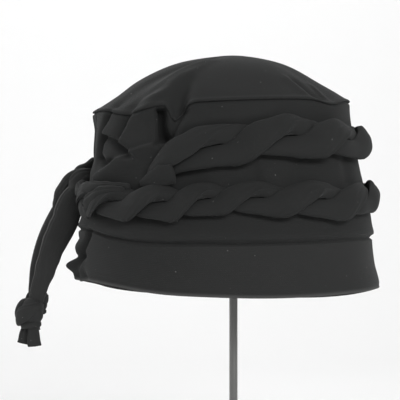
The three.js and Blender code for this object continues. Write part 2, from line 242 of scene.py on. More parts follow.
def mixColour(tree, factor, first, second):
    node = addNode(tree, "ShaderNodeMix", data_type="RGBA")
    feed(tree, node.inputs["Factor"], factor)
    feed(tree, node.inputs["A"], first)
    feed(tree, node.inputs["B"], second)
    return node.outputs["Result"]


def addBump(tree, shader, height, strength, distance):
    bump = addNode(tree, "ShaderNodeBump")
    bump.inputs["Strength"].default_value = strength
    bump.inputs["Distance"].default_value = distance
    tree.links.new(height, bump.inputs["Height"])
    tree.links.new(bump.outputs["Normal"], shader.inputs["Normal"])


def groupNode(tree, group, place, values):
    node = addNode(tree, "ShaderNodeGroup", node_tree=group)
    tree.links.new(place, node.inputs["Vector"])
    for label, value in values.items():
        node.inputs[label].default_value = value
    return node.outputs[0]


def newGroup(name, values, result):  # a group that takes a place and some values and gives one value
    tree = bpy.data.node_groups.new(name, "ShaderNodeTree")
    tree.interface.new_socket("Vector", in_out="INPUT", socket_type="NodeSocketVector")
    for label in values:
        tree.interface.new_socket(label, in_out="INPUT", socket_type="NodeSocketFloat")
    tree.interface.new_socket(result, in_out="OUTPUT", socket_type="NodeSocketFloat")
    start = tree.nodes.new("NodeGroupInput")
    end = tree.nodes.new("NodeGroupOutput")
    return tree, start, end


def newFinish(name, values):  # a material with some plain values of its shader
    material = bpy.data.materials.new(name)
    material.use_nodes = True
    shader = material.node_tree.nodes["Principled BSDF"]
    for label, value in values.items():
        shader.inputs[label].default_value = value
    return material, material.node_tree, shader


# jersey
jerseySet = {
    "shader": {
        "Specular IOR Level": 0.25,
        "Sheen Weight": 0.08,
        "Sheen Roughness": 0.45,
        "Sheen Tint": (0.8, 0.82, 0.82, 1),
    },
    "dark": (0.0215, 0.0222, 0.0220, 1),
    "paleTone": (0.0370, 0.0378, 0.0375, 1),
    "rubbedAndLit": (0.16, 0.16, 0.158, 1),
    "lint": (0.15, 0.15, 0.147, 1),
    "knitValues": {"Stitch": 900},  # stitches in a metre
    "lintValues": {"Spread": 66, "Size": 0.03},
    "lintAbove": 0.66,  # cells with a lower draw have no speck
    "cloudScale": 26,
    "cloudDetail": 5,
    "cloudShare": 0.6,
    "fuzzScale": 1400,
    "fuzzShare": 0.4,
    "fuzzHeight": 0.8,
    "roughness": 0.88,
    "roughnessRange": 0.12,
    "bump": 0.25,
    "bumpDistance": 0.0004,
}


def makeKnitGroup():  # columns of small v stitches on the cloth's own map
    tree, start, end = newGroup("jerseyKnit", jerseySet["knitValues"], "Height")
    scaled = addNode(tree, "ShaderNodeVectorMath", operation="SCALE")
    tree.links.new(start.outputs["Vector"], scaled.inputs[0])
    tree.links.new(start.outputs["Stitch"], scaled.inputs["Scale"])
    split = addNode(tree, "ShaderNodeSeparateXYZ")
    tree.links.new(scaled.outputs[0], split.inputs[0])
    across = mathNode(tree, "PINGPONG", split.outputs[0], 0.5)
    slant = mathNode(tree, "ADD", split.outputs[1], across)
    loops = mathNode(tree, "SINE", mathNode(tree, "MULTIPLY", slant, 2 * math.pi))
    ribs = mathNode(tree, "SINE", mathNode(tree, "MULTIPLY", split.outputs[0], 2 * math.pi))
    stitches = sumNode(tree, loops, 0.5, mathNode(tree, "ABSOLUTE", ribs))
    tree.links.new(mathNode(tree, "MULTIPLY", stitches, 0.6), end.inputs["Height"])
    return tree


def makeLintGroup():  # a few pale specks of lint
    tree, start, end = newGroup("lintSpecks", jerseySet["lintValues"], "Mask")
    cells = addNode(tree, "ShaderNodeTexVoronoi", voronoi_dimensions="2D")
    tree.links.new(start.outputs["Vector"], cells.inputs["Vector"])
    tree.links.new(start.outputs["Spread"], cells.inputs["Scale"])
    split = addNode(tree, "ShaderNodeSeparateColor")
    tree.links.new(cells.outputs["Color"], split.inputs[0])
    speckSize = mathNode(tree, "MULTIPLY", start.outputs["Size"], split.outputs[1])
    dots = mathNode(tree, "LESS_THAN", cells.outputs["Distance"], speckSize)
    chosen = mathNode(tree, "GREATER_THAN", split.outputs[0], jerseySet["lintAbove"])
    tree.links.new(mathNode(tree, "MULTIPLY", dots, chosen), end.inputs["Mask"])
    return tree


def makeJersey():
    material, tree, shader = newFinish("jersey", jerseySet["shader"])
    place = addNode(tree, "ShaderNodeTexCoord")
    knit = groupNode(tree, makeKnitGroup(), place.outputs["UV"], jerseySet["knitValues"])
    lint = groupNode(tree, makeLintGroup(), place.outputs["UV"], jerseySet["lintValues"])
    cloud = noiseNode(tree, place.outputs["Object"], jerseySet["cloudScale"], jerseySet["cloudDetail"])
    fuzz = noiseNode(tree, place.outputs["Object"], jerseySet["fuzzScale"])
    edge = addNode(tree, "ShaderNodeAttribute", attribute_name="wearAndLight")
    mottle = sumNode(tree, cloud, jerseySet["cloudShare"], fuzz, jerseySet["fuzzShare"])
    tone = mixColour(tree, mottle, jerseySet["dark"], jerseySet["paleTone"])
    # the attribute mixes in a paler colour: painted highlights along strap edges and the hem, painted light
    # on the near band, and a paler tone that lifts straps lying in shade
    rubbedAndLit = mixColour(tree, edge.outputs["Fac"], tone, jerseySet["rubbedAndLit"])
    specked = mixColour(tree, lint, rubbedAndLit, jerseySet["lint"])
    tree.links.new(specked, shader.inputs["Base Color"])
    smoothest = jerseySet["roughness"] - jerseySet["roughnessRange"] / 2
    rough = sumNode(tree, cloud, jerseySet["roughnessRange"], smoothest)
    tree.links.new(rough, shader.inputs["Roughness"])
    surface = sumNode(tree, fuzz, jerseySet["fuzzHeight"], knit)
    addBump(tree, shader, surface, jerseySet["bump"], jerseySet["bumpDistance"])
    return material


# metal of the stand
metalSet = {
    "shader": {"Metallic": 0.35},
    "colour": (0.21, 0.212, 0.206, 1),
    "light": (0.275, 0.277, 0.271, 1),
    "drawn": (900, 900, 12),  # streaks along the rod
    "roughness": 0.38,
    "roughnessRange": 0.2,
    "bump": 0.08,
    "bumpDistance": 0.0002,
}


def makeRodMetal():
    material, tree, shader = newFinish("rodMetal", metalSet["shader"])
    place = addNode(tree, "ShaderNodeTexCoord")
    drawn = addNode(tree, "ShaderNodeMapping")
    drawn.inputs["Scale"].default_value = metalSet["drawn"]
    tree.links.new(place.outputs["Object"], drawn.inputs["Vector"])
    streak = noiseNode(tree, drawn.outputs["Vector"], 1)
    tone = mixColour(tree, streak, metalSet["colour"], metalSet["light"])
    tree.links.new(tone, shader.inputs["Base Color"])
    smoothest = metalSet["roughness"] - metalSet["roughnessRange"] / 2
    rough = sumNode(tree, streak, metalSet["roughnessRange"], smoothest)
    tree.links.new(rough, shader.inputs["Roughness"])
    addBump(tree, shader, streak, metalSet["bump"], metalSet["bumpDistance"])
    return material


jersey = makeJersey()
rodMetal = makeRodMetal()
print("finishes made")


# straps: flattened tubes of rolled jersey along a path
strapUsual = {  # what a strap has unless its row says otherwise
    "steps": 60,
    "around": 28,
    "turn": 0,  # degrees from end to end
    "round": 0.08,  # share of the length in which an end closes
    "groove": 2.6,  # place of a groove round the strap, in radians
    "pale": 99,  # place of a painted highlight along one edge round the strap; this far out there is none
    # an even paler colour over a whole strap; on the far tail and the back knot it is painted light, lifting
    # straps that lie in shade
    "paleTone": 0,
    "crumple": 0.08,
    "seed": 1,
}
strapShape = {
    "square": 0.8,
    "grooveDeep": 0.3,
    "grooveWide": 0.16,
    "paleWide": 0.12,
    "paleFrom": 0.3,
    "crumpleSize": 11,
    "clothRound": 5,
    "pathSteps": 40,
}


def smoothPath(points, count):  # evenly spaced points on a smooth curve through a few points
    rows = [{"t": t, "x": p[0], "y": p[1], "z": p[2]} for t, p in enumerate(points)]
    fine = np.linspace(0, len(points) - 1, strapShape["pathSteps"] * len(points))
    line = np.stack([smoothTable(rows, "t", axis)(fine) for axis in "xyz"], -1)
    line[0], line[-1] = points[0], points[-1]
    travel = np.concatenate([[0], np.cumsum(np.linalg.norm(np.diff(line, axis=0), axis=1))])
    even = np.linspace(0, travel[-1], count)
    return np.stack([np.interp(even, travel, line[:, k]) for k in range(3)], -1), travel[-1]


def spread(values, share):  # a smooth curve through evenly spaced values
    rows = [{"share": k / (len(values) - 1), "value": value} for k, value in enumerate(values)]
    return smoothTable(rows, "share", "value")(share)


def strapWays(line, strap, share):  # the ways across and out of a strap at each step
    along = np.gradient(line, axis=0)
    along /= np.linalg.norm(along, axis=1, keepdims=True)
    hint = np.array(strap["hint"], float)
    side = hint - along * (along @ hint)[:, None]
    side /= np.linalg.norm(side, axis=1, keepdims=True)
    out = np.cross(along, side)
    turn = (np.radians(strap["turn"]) * share)[:, None]
    turnedSide = side * np.cos(turn) + out * np.sin(turn)
    turnedOut = out * np.cos(turn) - side * np.sin(turn)
    return turnedSide[:, None, :], turnedOut[:, None, :]


def strapSection(strap, share, angle):  # distances across and out, and how far the ends have closed
    width = spread(strap["width"], share) / 2
    depth = spread(strap["depth"], share) / 2
    close = np.minimum(share, 1 - share) / strap["round"]
    size = np.sqrt(np.maximum(1 - (1 - np.clip(close, 0, 1)) ** 2, 0))
    across = np.sign(np.cos(angle)) * np.abs(np.cos(angle)) ** strapShape["square"]
    rise = np.sign(np.sin(angle)) * np.abs(np.sin(angle)) ** strapShape["square"]
    groove = 1 - strapShape["grooveDeep"] * bell(angle, strap["groove"], strapShape["grooveWide"])
    across = across[None, :] * groove * (width * size)[:, None]
    rise = rise[None, :] * groove * (depth * size)[:, None]
    return across, rise, size


def strapPlaces(points, row):
    strap = {**strapUsual, **row}
    line, length = smoothPath(points, strap["steps"] + 1)
    share = np.linspace(0, 1, strap["steps"] + 1)
    angle = np.linspace(0, 2 * math.pi, strap["around"] + 1)
    side, out = strapWays(line, strap, share)
    across, rise, size = strapSection(strap, share, angle)
    middle = line[:, None, :]
    plain = middle + across[..., None] * side + rise[..., None] * out
    crumple = 1 + strap["crumple"] * ripple(plain, strapShape["crumpleSize"], strap["seed"])
    places = middle + (across * crumple)[..., None] * side + (rise * crumple)[..., None] * out
    clothRound = angle[None, :] * strapShape["clothRound"]
    uvs = np.stack(np.broadcast_arrays((share * length)[:, None], clothRound), -1)
    # painted highlight along one edge of the strap, fading where its ends close
    pale = bell(angle, strap["pale"], strapShape["paleWide"])[None, :]
    wearAndLight = np.maximum(pale * ramp(size, strapShape["paleFrom"], 1)[:, None], strap["paleTone"])
    return places[:, ::-1], uvs[:, ::-1], wearAndLight[:, ::-1], line, length


def strapObject(name, points, strap):
    places, uvs, wearAndLight = strapPlaces(points, strap)[:3]
    return gridObject(name, places, uvs, jersey, wearAndLight)


rimHeight = 140  # near rim above the floor


def raised(points):  # heights are given above the near rim
    return [(x, y, rimHeight + h) for x, y, h in points]


# tails, from the knot to the knots at their ends
nearTail = {
    "start": (-96.5, 9, 76),
    "route": [(-108.2, 9, 57.8), (-114.6, 7, 41.8), (-122.2, 6, 24.4), (-127.9, 6, 6.9), (-131.2, 6, -4),
              (-132.3, 6, -8)],
    "end": (-133, 6, -11),
    "endKnot": (-136.7, 6, -16.2),
    "flare": 1,
    "pale": 3.0,
    "paleTone": 0.1,
    "knotSize": 1.0,
    "width": [5, 13, 18.4, 18.6, 17.8, 16, 14, 12, 11],
    "depth": [6, 5, 4.6, 4.4, 4.4, 4.6, 5],
}
farTail = {
    "start": (-107, 14, 65),
    "route": [(-111.6, 15.5, 59.4), (-120.5, 18, 46), (-127.5, 19.5, 30), (-132.3, 20, 14),
              (-134.1, 20, -0.8)],
    "end": (-134.3, 20, -9),
    "endKnot": (-133.5, 20, -10.2),
    "flare": -0.4,
    "pale": 3.2,
    # the far tail's paler tone is painted light, lifting it out of the near tail's shade
    "paleTone": 0.2,
    "knotSize": 0.85,
    "width": [11, 12, 12, 12, 12, 11, 10],
    "depth": [6, 5.5, 5, 5, 5, 5, 5.5],
}
tailUsual = {"hint": (1, 0, 0.2), "steps": 90, "around": 40, "round": 0.03, "turn": 10, "crumple": 0.04}
tailGroove = 0.35  # how far the groove lies from the pale edge, in radians


def makeTail(name, tail, node, seed):
    strap = {**tailUsual, **tail, "groove": tail["pale"] - tailGroove, "seed": seed}
    route = raised([tail["start"], *tail["route"], tail["end"]])  # runs on into the knots at both ends
    places, uvs, wearAndLight, line, length = strapPlaces(route, strap)
    piece = gridObject(name, places, uvs, jersey, wearAndLight)
    seat(piece, "jersey", node)


# knots at the tails' ends, as places round the knot's middle
wrapRing = {"x": 0, "z": -1.5, "wide": 7.6, "deep": 6.4, "tilt": 4, "lag": 0.5,
            "from": 2.4, "to": 7.2, "count": 12}
collarRing = {"x": 1, "z": -9, "wide": 5.2, "deep": 4.4, "tilt": 0.6, "lag": 0,
              "from": 2.6, "to": 7, "count": 10}
frayedUsual = {"round": 0.03, "crumple": 0.1}
# an even paler colour over the end knots
endKnotPaleTone = 0.08


def ringPath(ring):  # an open, tilted ring
    angles = np.linspace(ring["from"], ring["to"], ring["count"])
    return [(ring["x"] + ring["wide"] * math.cos(a), ring["deep"] * math.sin(a),
             ring["z"] + ring["tilt"] * math.cos(a + ring["lag"])) for a in angles]


def endKnotStraps(flare):
    core = {"path": [(4.5, 0, 8.5), (2, -1, 4), (1, -1, -2), (1.5, 0, -10)], "width": [9, 14, 15, 10],
            "depth": [6, 12, 13, 6], "hint": (1, 0, 0), "round": 0.2, "groove": 4.2}
    loop = {"path": [(0, 1, 7), (-4.5, 1, 5.5), (-7, 0.5, -0.5), (-5.5, 0, -7), (-1, 0, -9.5)],
            "width": [7, 8, 8, 8, 6], "depth": [4, 5.5, 5.5, 5, 4], "hint": (0, 1, 0)}
    wrap = {"path": ringPath(wrapRing), "width": [9, 10, 9, 8], "depth": [3, 4.5, 4.5, 3],
            "hint": (0, 0, 1), "groove": 0.6}
    collar = {"path": ringPath(collarRing), "width": [4, 4.5, 4.5, 4], "depth": [3, 3.5, 3.5, 3],
              "hint": (0, 0, 1)}
    frontEnd = {"path": [(2, -1.5, -6), (2.6 * flare, -2, -14), (3.6 * flare, -1.5, -23.5)],
                "width": [7, 8.5, 9.5], "depth": [5, 3.2, 2.4], "hint": (1, 0, 0), **frayedUsual}
    backEnd = {"path": [(-1, 1.5, -6), (-2.8, 2, -14), (-5, 2.5, -22)],
               "width": [6, 7.5, 9.5], "depth": [4, 3, 2.2], "hint": (1, 0.35, 0), **frayedUsual}
    return [core, loop, wrap, collar, frontEnd, backEnd]


def makeEndKnot(name, tail, node, seed):
    middle = np.array(raised([tail["endKnot"]])[0])
    size = tail["knotSize"]
    pieces = []
    for k, strap in enumerate(endKnotStraps(tail["flare"])):
        points = [tuple(middle + size * np.array(offset)) for offset in strap["path"]]
        sized = {key: [size * value for value in strap[key]] for key in ("width", "depth")}
        pieces.append(strapObject("strap", points, {**strap, **sized, "paleTone": endKnotPaleTone, "seed": seed + k}))
    return seat(joinPieces(name, pieces), "jersey", node)


endKnotNear = makeEndKnot("tailEndKnotNear", nearTail, "tail_knot_near", 11)
endKnotFar = makeEndKnot("tailEndKnotFar", farTail, "tail_knot_far", 21)
makeTail("tailNear", nearTail, "tail_near", 31)
makeTail("tailFar", farTail, "tail_far", 41)
print("tails made")


# knot at the back
# the knot's paler tone is painted light, lifting its wraps out of the shade they lie in
tieKnotSet = {"paleTone": 0.14, "seed": 51}
tieKnotStraps = {
    "core": {"path": [(-100, 19, 77), (-103, 19, 72), (-106, 19, 66), (-107, 18, 58)],
             "width": [14, 20, 18, 12], "depth": [10, 12, 12, 9], "hint": (0, 1, 0)},
    "farStrap": {"path": [(-92, 27, 84), (-99, 24, 80), (-106, 20, 75), (-110, 17, 70)],
                 "width": [11, 11, 10, 8], "depth": [6, 6, 6, 5], "hint": (0.4, 0, 1)},
    "wrap": {"path": [(-93, 13, 75), (-99, 10, 76), (-104.5, 10, 73.5), (-108, 11, 68.5), (-107.5, 17, 63)],
             "width": [8, 9, 9, 8, 6], "depth": [5, 6, 6, 6, 5], "hint": (0, 0, 1), "groove": 5.4},
    "underWrap": {"path": [(-97, 13, 71), (-104, 12, 69.5), (-110, 13, 65), (-114, 15, 59)],
                  "width": [7, 8, 8, 6], "depth": [5, 6, 6, 5], "hint": (0.5, 0, 1), "groove": 5.4},
    "farLoop": {"path": [(-99, 20, 79), (-107, 18, 76), (-113.5, 16, 70), (-117.5, 16, 62), (-118.5, 18, 53),
                         (-117, 19, 47)],
                "width": [9, 11, 11, 11, 10, 9], "depth": [5, 6.5, 6.5, 6.5, 6, 4], "hint": (0.6, 1, 0.3)},
}


def makeTieKnot():
    pieces = []
    for k, (name, strap) in enumerate(tieKnotStraps.items()):
        own = {**strap, "paleTone": tieKnotSet["paleTone"], "seed": tieKnotSet["seed"] + k}
        pieces.append(strapObject(name, raised(strap["path"]), own))
    seat(joinPieces("tieKnot", pieces), "jersey", "tie_knot")


makeTieKnot()
print("knot made")


# shape of the cap
capSet = {
    "seamHeight": 120,
    "seamLean": 3.5,
    "seamGap": 0.15,
    "thickness": 1.8,
    "rimBack": 3,
    "rimFar": 4,
    "rimEnds": 4,
    "rimSag": 4.5,
}
wallLevels = table(("h", "back", "front", "half"), [
    (0, -101.5, 97, 84),
    (16, -101.5, 93.6, 83),
    (31, -101, 92, 82),
    (38, -102, 92, 82.6),
    (50, -99, 90, 80),
    (85, -94, 83, 75),
    (120, -92.5, 77, 71),
])
wallBack = smoothTable(wallLevels, "h", "back")
wallFront = smoothTable(wallLevels, "h", "front")
wallHalf = smoothTable(wallLevels, "h", "half")


def rimLift(angle):
    ends = capSet["rimEnds"] * np.cos(2 * angle)
    sag = capSet["rimSag"] * 2 * np.maximum(np.sin(angle), 0) * np.abs(np.cos(angle))
    return ends - capSet["rimBack"] * np.cos(angle) - capSet["rimFar"] * np.sin(angle) - sag


# height of the seam between band and side wall
bandTops = table(("angle", "h"), [
    (0, 33.4), (150, 32), (180, 35), (197, 35.2), (209, 33.8), (219, 31.4), (236, 29.6), (264, 32),
    (297, 33.2), (360, 33.4),
])
bandTopTable = smoothTable(bandTops, "angle", "h")


def bandTopAt(angle):
    return bandTopTable(np.mod(np.degrees(angle), 360))


seamDips = table(("angle", "wide", "deep"), [(226, 14, 5.5), (325, 10, 3.2)])


def seamAt(angle):  # the top seam is dragged down at the back left and the front
    dip = sum(row["deep"] * bell(np.degrees(angle), row["angle"], row["wide"]) for row in seamDips)
    return capSet["seamHeight"] + capSet["seamLean"] * np.cos(angle) - dip


slitSet = {"angle": 248.5, "deep": 11, "left": 2, "right": 4.8, "slant": 0.1}


def slitDip(angle):  # how far the crown's edge is drawn down into the slit, steeply on its left
    turn = np.degrees(angle) - slitSet["angle"]
    return slitSet["deep"] * bell(turn, 0, np.where(turn > 0, slitSet["right"], slitSet["left"]))


def wallPlace(angle, h, lift):
    back, front, half = wallBack(h), wallFront(h), wallHalf(h)
    reach = (front - back) / 2
    outX, outY = np.cos(angle) / reach, np.sin(angle) / half
    size = np.hypot(outX, outY)
    x = (front + back) / 2 + reach * np.cos(angle) + lift * outX / size
    y = half * np.sin(angle) + lift * outY / size
    z = rimHeight + h + rimLift(angle) * np.clip(1 - h / capSet["seamHeight"], 0, 1)
    return np.stack(np.broadcast_arrays(x, y, z), -1)


# folds of the side wall in the side view, as (x, height above the rim)
nearFolds = [
    {"path": [(-33, 112), (-38.5, 102), (-42.5, 94)], "rise": -5, "left": 2.6, "right": 3, "fade": 4},
    {"path": [(-55, 118), (-55, 106), (-54, 96)], "rise": 2.5, "left": 5, "right": 7},
    {"path": [(-81, 100), (-74.7, 97.4), (-68.6, 93.2), (-64.4, 88.7)],
     "rise": 4, "left": 8, "right": 1.2, "fade": 4},
    {"path": [(-81, 97.6), (-74.7, 95), (-68.6, 90.8), (-64.4, 86.3)],
     "rise": -3.6, "left": 1.2, "right": 3.5, "fade": 3},
    {"path": [(-83.5, 112), (-87.2, 98), (-89.5, 82)], "rise": 1.0, "left": 1.6, "right": 4},
    {"path": [(-81, 111), (-84.3, 99.5), (-86.1, 88.5)], "rise": -5, "left": 0.9, "right": 2, "fade": 4},
    {"path": [(-49, 121), (-61.7, 112.2), (-64.4, 107), (-66.2, 101), (-67.5, 95)],
     "rise": 4.5, "left": 9, "right": 1.4, "fade": 4},
    {"path": [(-66.5, 110), (-69, 102), (-70, 97)], "rise": -2.6, "left": 1.4, "right": 4, "fade": 3},
    {"path": [(-87, 71.4), (-78.6, 77.7), (-72.5, 82.4), (-63.8, 86.2), (-56.9, 89.7), (-49.4, 92),
              (-43, 92.7)],
     "rise": 4.6, "left": 1.6, "right": 8, "fade": 4},
    {"path": [(-86, 82.8), (-83, 78), (-79, 80.6)], "rise": -5, "left": 2, "right": 1.8, "fade": 2.5},
    {"path": [(-34, 104), (-12, 109), (14, 111)], "rise": 2.2, "left": 5, "right": 5, "fade": 10},
    {"path": [(8, 88), (12, 72)], "rise": -1.6, "left": 4, "right": 6},
    {"path": [(40, 88), (36, 74)], "rise": -1.0, "left": 5, "right": 4},
    {"path": [(70, 90), (72, 72)], "rise": -2.0, "left": 4, "right": 4},
]
# the deep slit at the back left, pushed straight back from the near side
slitFold = {"path": [(-45.4, 113.5), (-45.4, 93.8)],
            "rise": 10.5, "left": 3, "right": 3, "fade": 1.5, "power": 6}
# folds of the back and far side, as (millimetres round from the middle of the back, height above the rim)
backFolds = [
    {"path": [(8, 52), (13, 42)], "rise": 1.6, "left": 7, "right": 7},
    {"path": [(4, 80), (10, 98), (12, 112)], "rise": -3, "left": 4, "right": 5},
    {"path": [(-6, 82), (-14, 100), (-20, 116)], "rise": -3.2, "left": 5, "right": 4},
    {"path": [(-14, 76), (-38, 92), (-60, 104)], "rise": -3, "left": 5, "right": 5},
    {"path": [(-20, 72), (-46, 80), (-66, 92)], "rise": 2.6, "left": 6, "right": 5},
    {"path": [(-2, 82), (-3, 100), (-4, 114)], "rise": 2.2, "left": 4, "right": 4},
    {"path": [(18, 74), (34, 80), (44, 88)], "rise": 2.0, "left": 5, "right": 5},
    {"path": [(6, 103), (6, 84)], "rise": -2.6, "left": 22, "right": 22, "fade": 8},
    {"path": [(-92, 116), (-94, 104), (-90, 92)], "rise": -4, "left": 4, "right": 4},
    {"path": [(-140, 112), (-150, 104), (-175, 110)], "rise": 1.4, "left": 5, "right": 6},
]
backRadius = 75  # turns an angle from the middle of the back into millimetres
nearSide = (0.05, 0.4)  # how far towards the near side its folds begin, and how far they are whole
wallWaves = {"high": 0.45, "size": 30, "upright": 0.7, "seed": 61}


def backTravel(angle):  # millimetres round from the middle of the back
    return (np.mod(angle, 2 * math.pi) - math.pi) * backRadius


def sideLift(angle, h):
    place = wallPlace(angle, h, 0)
    nearness = ramp(-np.sin(angle), *nearSide)
    lift = nearness * foldLift(place[..., 0], h, nearFolds)
    lift += foldLift(backTravel(angle), h, backFolds) * (1 - nearness)
    waves = ripple(place * (1, 1, wallWaves["upright"]), wallWaves["size"], wallWaves["seed"])
    return lift + wallWaves["high"] * waves


# ruffle at the back of the band
bandRuffles = table(("angle", "h", "rise", "wide", "tall"), [
    (187, 9, 10, 5, 6),
    (187, 22, 4, 6, 5.5),
    (196, 0, -3, 4, 5),
    (186, 0, 5, 4, 3.4),
    (176, 31, 3, 7, 6),
    (172, 8, 5, 7, 12),
    (158, 12, -3, 7, 16),
])
# creases between the ruffle and the smooth part of the band, as (millimetres round from the back, height)
bandCreases = [
    {"path": [(28, 32), (21, 23.2), (17, 17.2), (14, 10), (10, 2.2), (8, -3)],
     "rise": -4.4, "left": 3, "right": 2.2, "fade": 4},
    {"path": [(22, 16), (15, 15.4), (6, 14.6)], "rise": -2.4, "left": 2.4, "right": 2, "fade": 3},
]


def ruffleLift(angle, h):
    lift = foldLift(backTravel(angle), h, bandCreases)
    for ruffle in bandRuffles:
        turn = (np.degrees(angle) - ruffle["angle"]) / ruffle["wide"]
        climb = (h - ruffle["h"]) / ruffle["tall"]
        lift += ruffle["rise"] * np.exp(-(turn**2) - climb**2)
    return lift


def loopRows(shares, thickness):  # outside up, over the top edge, inside down, round the bottom edge
    half = thickness / 2
    rows = [(share, 0, 0) for share in shares]
    bend = np.linspace(0, math.pi, 7)[1:-1]
    rows += [(shares[-1], half * math.sin(b), half * math.cos(b) - half) for b in bend]
    rows += [(share, 0, -thickness) for share in shares[::-1]]
    rows += [(shares[0], -half * math.sin(b), -half - half * math.cos(b)) for b in bend]
    return rows + rows[:1]


clothMap = {"round": 90, "inside": 40, "hemTall": 0.9, "hemReach": 1.2, "paleFrom": 215, "paleFull": 280}


def clothWall(name, rows, columns, place, hem=0, nearBandLight=0):  # hem paints a highlight along the hem's edge; the last argument paints light on the near part of the band
    angle = np.linspace(0, 2 * math.pi, columns + 1)[None, :]
    share, climb, lift = (np.array(column)[:, None] for column in zip(*rows))
    places, h = place(angle, share, climb, lift)
    inside = lift < -capSet["thickness"] / 2
    uvs = np.stack(np.broadcast_arrays(angle * clothMap["round"], h + clothMap["inside"] * inside), -1)
    # painted light: the band grows paler from the back left round the near side, leaving its left end darker
    # as if in shade
    paler = nearBandLight * ramp(np.degrees(angle), clothMap["paleFrom"], clothMap["paleFull"])
    # hem adds a painted highlight along the outside of the hem's edge
    wearAndLight = paler + hem * bell(h, 0, clothMap["hemTall"]) * (lift > -clothMap["hemReach"])
    return gridObject(name, places, uvs, jersey, wearAndLight)


# band
bandSet = {
    "columns": 420,
    "topTuck": -2.2,
    "tuckFrom": 0.93,
    "waves": 0.35,
    "waveSize": 34,
    "waveUpright": 0.25,
    "seed": 71,
    "hemPinch": -0.4,
    "hemTall": 1.2,
    # painted highlight along the hem's edge
    "hemPale": 0.45,
    # share of painted light on the near part of the band
    "nearBandLight": 0.05,
}
bandDroops = table(("angle", "wide", "deep", "power"), [(189.5, 4.5, 1.4, 2), (243, 14, 0.9, 1)])


def bandPlace(angle, share, climb, lift):
    h = share * bandTopAt(angle)
    tuck = bandSet["topTuck"] * ramp(share, bandSet["tuckFrom"], 1)
    flat = wallPlace(angle, h, 0) * (1, 1, bandSet["waveUpright"])
    waves = bandSet["waves"] * ripple(flat, bandSet["waveSize"], bandSet["seed"])
    hem = bandSet["hemPinch"] * bell(h, bandSet["hemTall"], bandSet["hemTall"])
    places = wallPlace(angle, h, lift + tuck + ruffleLift(angle, h) + waves + hem)
    droop = sum(row["deep"] * bell(np.degrees(angle), row["angle"], row["wide"]) * (1 - share) ** row["power"]
                for row in bandDroops)
    places[..., 2] += climb - droop
    return places, h


def makeBand():
    shares = np.concatenate([np.linspace(0, 0.9, 40), np.linspace(0.91, 1, 12)])
    rows = loopRows(shares, capSet["thickness"])
    piece = clothWall("bandWall", rows, bandSet["columns"], bandPlace,
                      hem=bandSet["hemPale"], nearBandLight=bandSet["nearBandLight"])
    seat(piece, "jersey", "band")


# side wall
sideSet = {
    "columns": 440,
    "bandGap": 0.3,
    "foldsFrom": 0.02,
    "foldsFull": 0.2,
    "lip": 1.0,
    "lipAt": 36,
    "lipTall": 4,
    "topTuck": -1.5,
    "topTuckFrom": 0.975,
    "lowTuck": -2.0,
    "lowTuckTo": 0.02,
}


def crownSidePlace(angle, share, climb, lift):
    low = bandTopAt(angle) + sideSet["bandGap"]
    h = low + (seamAt(angle) - slitDip(angle) - capSet["seamGap"] - low) * share
    folded = ramp(share, sideSet["foldsFrom"], sideSet["foldsFull"])
    ruffle = ruffleLift(angle, h) * (1 - folded)
    lip = sideSet["lip"] * bell(h, sideSet["lipAt"], sideSet["lipTall"])
    tuck = sideSet["topTuck"] * ramp(share, sideSet["topTuckFrom"], 1)
    tuck = tuck + sideSet["lowTuck"] * ramp(-share, -sideSet["lowTuckTo"], 0)
    places = wallPlace(angle, h, lift + ruffle + lip + tuck + sideLift(angle, h) * folded)
    slit = foldLift(wallPlace(angle, h, 0)[..., 0], h, [slitFold]) * (np.sin(angle) < 0)
    places[..., 0] -= slitSet["slant"] * slit
    places[..., 1] += slit
    places[..., 2] += climb
    return places, h


def makeCrownSide():
    shares = np.concatenate([np.linspace(0, 0.08, 10), np.linspace(0.09, 1, 92)])
    rows = loopRows(shares, capSet["thickness"])
    piece = clothWall("crownSide", rows, sideSet["columns"], crownSidePlace)
    seat(piece, "jersey", "crown_side")


# crown
crownSet = {
    "columns": 320,
    "apexHeight": 154,
    "apexX": -2,
    "domePower": 2.15,
    "overhang": 0.9,
    "overhangAt": 0.985,
    "overhangWide": 0.013,
    "overhangRadius": 80,
    "waves": 0.4,
    "waveSize": 38,
    "seed": 81,
    "slitFrom": 0.8,  # shares of the way from the apex out to the seam
    "wallFoldsFrom": 0.86,
    "swellWithin": 0.07,  # shares of the way from the seam in to the apex
    "wavesWithin": (0.02, 0.2),
    "edgeBulge": 0.5,
    "edgeTurns": (1.0, 2.1),
    "mapRadius": 90,
}
crownFolds = [  # as (x, y), seen from above
    {"path": [(-6, -22), (-24, -40), (-36, -53), (-51, -62)],
     "rise": 4.4, "left": 3.6, "right": 14, "fade": 8, "grow": 0.8},
    {"path": [(-28, -46), (-35, -58), (-39.5, -68)],
     "rise": -7, "left": 6, "right": 4, "fade": 5, "grow": 0.5},
    {"path": [(-20, -30), (-45, -44), (-68, -48)], "rise": 1.3, "left": 4, "right": 6, "fade": 8},
    {"path": [(-15, -18), (-45, -30), (-74, -34)], "rise": -1.3, "left": 6, "right": 4, "fade": 8},
    {"path": [(34, -44), (40, -48), (46, -52)], "rise": 1.2, "left": 2, "right": 5, "fade": 4},
    {"path": [(39, -43), (46, -46), (54, -47)], "rise": -3, "left": 4, "right": 2.2, "fade": 4},
    {"path": [(51, -34), (55, -37), (60, -40)], "rise": 1.4, "left": 3, "right": 2, "fade": 4},
    {"path": [(57, -40), (57, 40)], "rise": -1.6, "left": 15, "right": 15, "fade": 16},
    {"path": [(-74, -32), (-78, 0), (-74, 30)], "rise": -1.4, "left": 10, "right": 9, "fade": 10},
    {"path": [(-52, 20), (-74, 36)], "rise": -2, "left": 6, "right": 6, "fade": 10},
    {"path": [(-20, 40), (-34, 62)], "rise": 2, "left": 8, "right": 6, "fade": 10},
    {"path": [(26, 38), (44, 54)], "rise": -1.8, "left": 6, "right": 6, "fade": 8},
]


